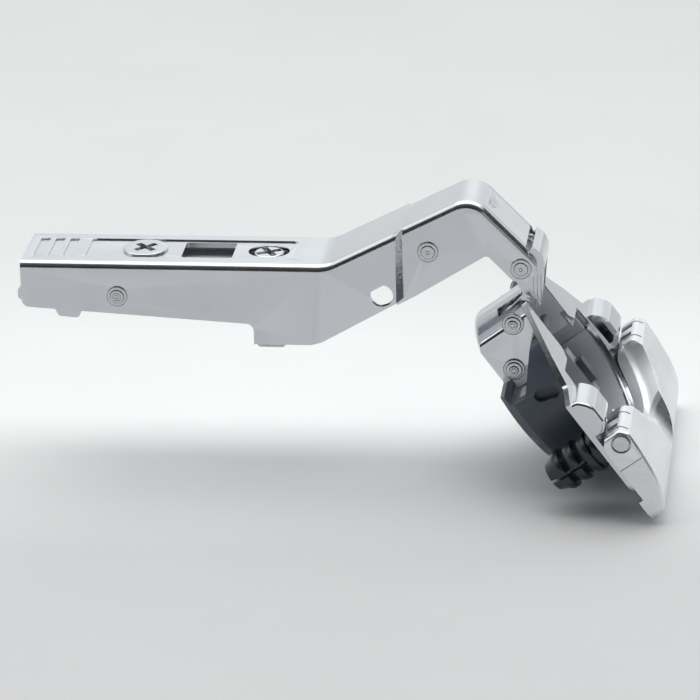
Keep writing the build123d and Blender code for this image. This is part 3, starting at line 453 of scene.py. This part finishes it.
# Edge rounding of the sheet, castings and mouldings, in millimetres
rounding = {
    "hinge_arm": 0.16,
    "clip_carrier": 0.12,
    "latch_lever": 0.25,
    "depth_cam": 0.10,
    "side_screw": 0.10,
    "outer_link": 0.18,
    "cup_shell": 0.18,
    "damper_housing": 0.22,
    "damper_cylinders": 0.15,
    "damper_lever": 0.20,
    "damping_switch": 0.15,
    "locking_lever": 0.45,
    "lever_pins": 0.06,
    "dowel_near": 0.15,
    "dowel_far": 0.15,
}
weld_gap = 2e-6
sharp_edge = math.radians(32)

for name, obj in nodes.items():
    obj.data.materials.clear()
    obj.data.materials.append(finish[name])
    weld = obj.modifiers.new("weld", "WELD")
    weld.merge_threshold = weld_gap
    if name in rounding:
        bevel = obj.modifiers.new("bevel", "BEVEL")
        bevel.width = rounding[name] / MM_PER_M
        bevel.segments = 2
        bevel.limit_method = "ANGLE"
        bevel.angle_limit = sharp_edge
        bevel.use_clamp_overlap = True
        bevel.miter_outer = "MITER_ARC"
        bevel.harden_normals = False
        even = obj.modifiers.new("even_normals", "WEIGHTED_NORMAL")
        even.keep_sharp = False
        even.weight = 96

# Floor: light grey, with a painted pool of light under the hinge and painted shade in front and behind
floor_reach = 4.0
floor_gap = 0.0005
floor_corners = [(x * floor_reach, y * floor_reach, 0) for x, y in ((-1, -1), (1, -1), (1, 1), (-1, 1))]
floor_mesh = bpy.data.meshes.new("floor")
floor_mesh.from_pydata(floor_corners, [], [(0, 1, 2, 3)])
floor = bpy.data.objects.new("floor", floor_mesh)
floor.location = (0, 0, cad_box[0][2] - floor_gap)
bpy.context.collection.objects.link(floor)
floor_material, ft, floor_shader = new_material("floor_pale")
floor_grain = noise(ft, 0.02, 3.0)
depth = above(ft, along(ft, ORIGIN, ALONG_Y), -45.0, 655.0)
# Painted light and shade in the floor's colour, over a faint grain
floor_grain_and_painted_light = mix_colour(
    ft, "MULTIPLY", 1.0,
    ramp(ft, depth, [
        (0.0, (0.72, 0.72, 0.725)), (0.085, (0.96, 0.96, 0.96)), (0.15, (0.95, 0.95, 0.95)),
        (0.22, (0.84, 0.84, 0.84)), (0.80, (0.70, 0.70, 0.70)),
    ]),
    ramp(ft, floor_grain, [(0.3, (0.97, 0.97, 0.97)), (0.7, (1.0, 1.0, 1.0))]),
)
ft.links.new(floor_grain_and_painted_light, floor_shader.inputs["Base Color"])
floor_shader.inputs["Roughness"].default_value = 0.9
floor_shader.inputs["Specular IOR Level"].default_value = 0.1
floor.data.materials.append(floor_material)

# Surroundings, painted by direction: each edge is a range of the direction's X, Y or Z
world_strength = 1.2
world = bpy.data.worlds.new("studio")
bpy.context.scene.world = world
world.use_nodes = True
wt = world.node_tree
wt.nodes.clear()
world_output = wt.nodes.new("ShaderNodeOutputWorld")
direction = wt.nodes.new("ShaderNodeTexCoord")
parts = wt.nodes.new("ShaderNodeSeparateXYZ")
wt.links.new(direction.outputs["Generated"], parts.inputs["Vector"])
dx, dy, dz = parts.outputs["X"], parts.outputs["Y"], parts.outputs["Z"]


def grey(*stops):
    """Ramp stops of a slightly cool grey."""
    return [(place, (value * 0.985, value * 0.995, value)) for place, value in stops]


# Bright sweep behind, brightest in the middle, and a bright ceiling
across = ramp(wt, above(wt, dx, -1.0, 1.0), grey(
    (0.0, 0.55), (0.25, 0.58), (0.32, 0.68), (0.405, 0.82), (0.455, 0.97), (0.525, 1.0), (0.60, 0.79),
    (0.69, 0.76), (1.0, 0.62),
))
level = ramp(wt, above(wt, dz, -0.1, 0.5), grey((0.0, 0.72), (0.167, 0.78), (0.33, 0.95), (0.5, 1.0)))
sweep = mix_colour(wt, "MULTIPLY", 1.0, across, level)
bright = mix_colour(wt, "MIX", above(wt, dz, 0.42, 0.62), sweep, (0.985, 0.995, 1.0))
# A dark card in front, and a lower one at the right
front_card = below(wt, dy, -0.30, -0.20)
right_card = product(wt, above(wt, dx, 0.50, 0.62), below(wt, dy, 0.40, 0.55), below(wt, dz, 0.60, 0.75))
# The front card has a gap at its right corner and one below its middle
corner_gap = product(
    wt, above(wt, dx, 0.54, 0.60), below(wt, dx, 0.80, 0.86), front_card,
    above(wt, dz, 0.14, 0.18), below(wt, dz, 0.34, 0.40),
)
low_gap = product(
    wt, below(wt, maths(wt, "ABSOLUTE", dx), 0.35, 0.45), front_card, below(wt, dz, 0.07, 0.13)
)
cards = maths(
    wt, "SUBTRACT", maths(wt, "MAXIMUM", front_card, right_card), maths(wt, "MAXIMUM", corner_gap, low_gap)
)
card_tone = ramp(wt, above(wt, dz, 0.50, 0.80), grey((0.0, 0.022), (1.0, 0.075)))
studio = mix_colour(wt, "MIX", cards, bright, card_tone)
# A white horizon all round
horizon = below(wt, maths(wt, "ABSOLUTE", dz), 0.09, 0.12)
studio = mix_colour(wt, "MIX", horizon, studio, (1 / world_strength,) * 3)
background = wt.nodes.new("ShaderNodeBackground")
wt.links.new(studio, background.inputs["Color"])
background.inputs["Strength"].default_value = world_strength
wt.links.new(background.outputs["Background"], world_output.inputs["Surface"])


# Soft lamps

def area(name, place, aim, size, power):
    """A rectangular lamp that faces a place; metres and watts."""
    light = bpy.data.lights.new(name, "AREA")
    light.shape = "RECTANGLE"
    light.size, light.size_y = size
    light.energy = power
    lamp = bpy.data.objects.new(name, light)
    lamp.location = place
    lamp.rotation_euler = (Vector(aim) - Vector(place)).to_track_quat("-Z", "Y").to_euler()
    bpy.context.collection.objects.link(lamp)


lamp_aim = (0.03, 0.0, 0.0)
area("overhead", (0.05, 0.20, 0.85), lamp_aim, (1.2, 0.8), 3.0)
area("left", (-0.8, -0.10, 0.45), lamp_aim, (0.6, 0.6), 0.6)

# Camera at the photograph's viewing angle
eye_place = (0.12595, -0.7420, 0.2791)
eye_right = (0.99308, 0.11435, -0.02663)
eye_up = (-0.01732, 0.36705, 0.93004)
eye_back = (0.11613, -0.92314, 0.36650)
camera = bpy.data.cameras.new("camera")
camera.sensor_width = 36
camera.lens = 223.8
camera.clip_start = 0.05
camera.clip_end = 20
eye = bpy.data.objects.new("camera", camera)
eye_turn = Matrix((eye_right, eye_up, eye_back)).transposed()
eye.matrix_world = Matrix.Translation(eye_place) @ eye_turn.to_4x4()
bpy.context.collection.objects.link(eye)
bpy.context.scene.camera = eye

bpy.context.scene.view_settings.view_transform = "Standard"
